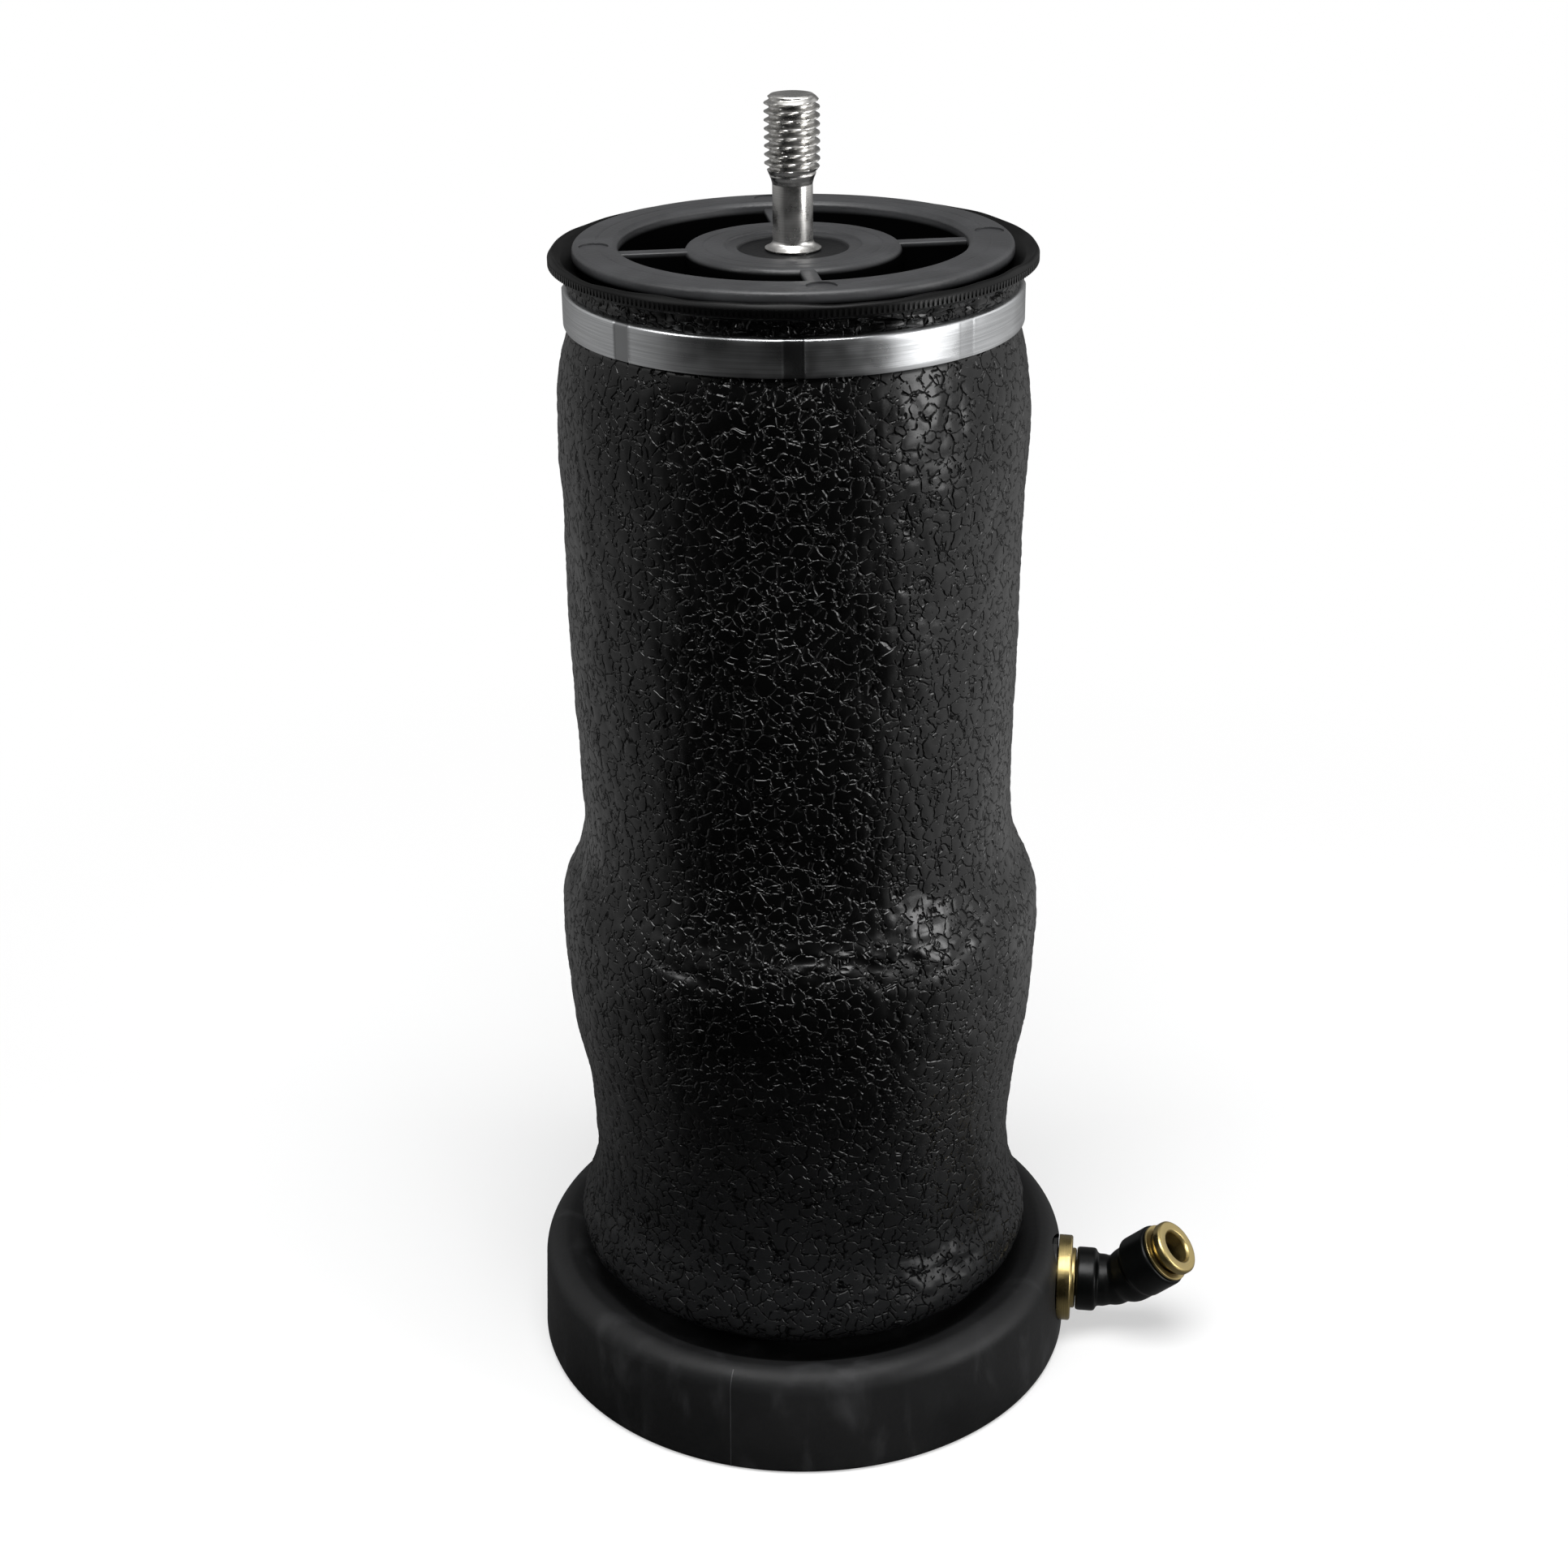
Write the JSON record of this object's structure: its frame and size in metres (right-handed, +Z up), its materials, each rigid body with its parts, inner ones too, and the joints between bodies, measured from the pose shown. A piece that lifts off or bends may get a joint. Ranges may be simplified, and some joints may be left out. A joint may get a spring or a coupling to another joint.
{
  "type": "air suspension spring",
  "caption": "Rolling-sleeve air spring with a stud-mounted ribbed head plate, clamped textured sleeve, dished base and a turning push-in air elbow.",
  "frame": {"origin": "centre of the base's flat underside", "axes": "+Z up the spring to the stud, +X out of the base's air port"},
  "size_m": [0.1391, 0.1118, 0.259],
  "materials": {
    "base_composite": "satin near-black moulding",
    "head_composite": "satin dark grey moulding",
    "elbow_plastic": "semi-gloss black moulding",
    "sleeve_rubber": "embossed crackle grain",
    "seal_rubber": "matt",
    "stud_steel": "bright turned",
    "hidden_steel": "zinc plated",
    "band_metal": "brushed round the band",
    "brass": "turned, lightly dulled"
  },
  "bodies": {
    "base": {"base_bowl": "base_composite", "mount_insert_left": "hidden_steel", "mount_insert_right": "hidden_steel", "centre_insert": "hidden_steel", "piston": "base_composite", "piston_seal": "seal_rubber", "bumper": "seal_rubber", "bumper_washer": "hidden_steel", "centre_bolt": "hidden_steel", "lower_clamp_band": "band_metal", "sleeve": "sleeve_rubber", "port_insert": "brass", "adapter": "brass", "adapter_seal": "seal_rubber"},
    "head": {"bead_plate": "head_composite", "stud": "stud_steel", "stud_washer": "hidden_steel", "stud_nut": "hidden_steel", "stud_seal": "seal_rubber", "upper_clamp_band": "band_metal"},
    "elbow": {"elbow_body": "elbow_plastic", "swivel_seal": "seal_rubber", "swivel_clip": "hidden_steel", "tube_seal": "seal_rubber", "grab_ring": "hidden_steel", "tube_cartridge": "brass"},
    "collet": {"release_collet": "brass"}
  },
  "joints": [
    {"name": "stroke", "type": "slide", "parent": "base", "child": "head", "axis": [0, 0, 1], "range_m": [-0.05, 0.03], "stiffness_N_per_m": 2500, "deforming": ["sleeve"]},
    {"name": "elbow_swivel", "type": "hinge", "parent": "base", "child": "elbow", "pos_m": [0.0668, 0, 0.0125], "axis": [1, 0, 0], "continuous": true},
    {"name": "collet_press", "type": "slide", "parent": "elbow", "child": "collet", "axis": [0.7071, -0.183, 0.683], "range_m": [-0.0012, 0], "stiffness_N_per_m": 200}
  ]
}
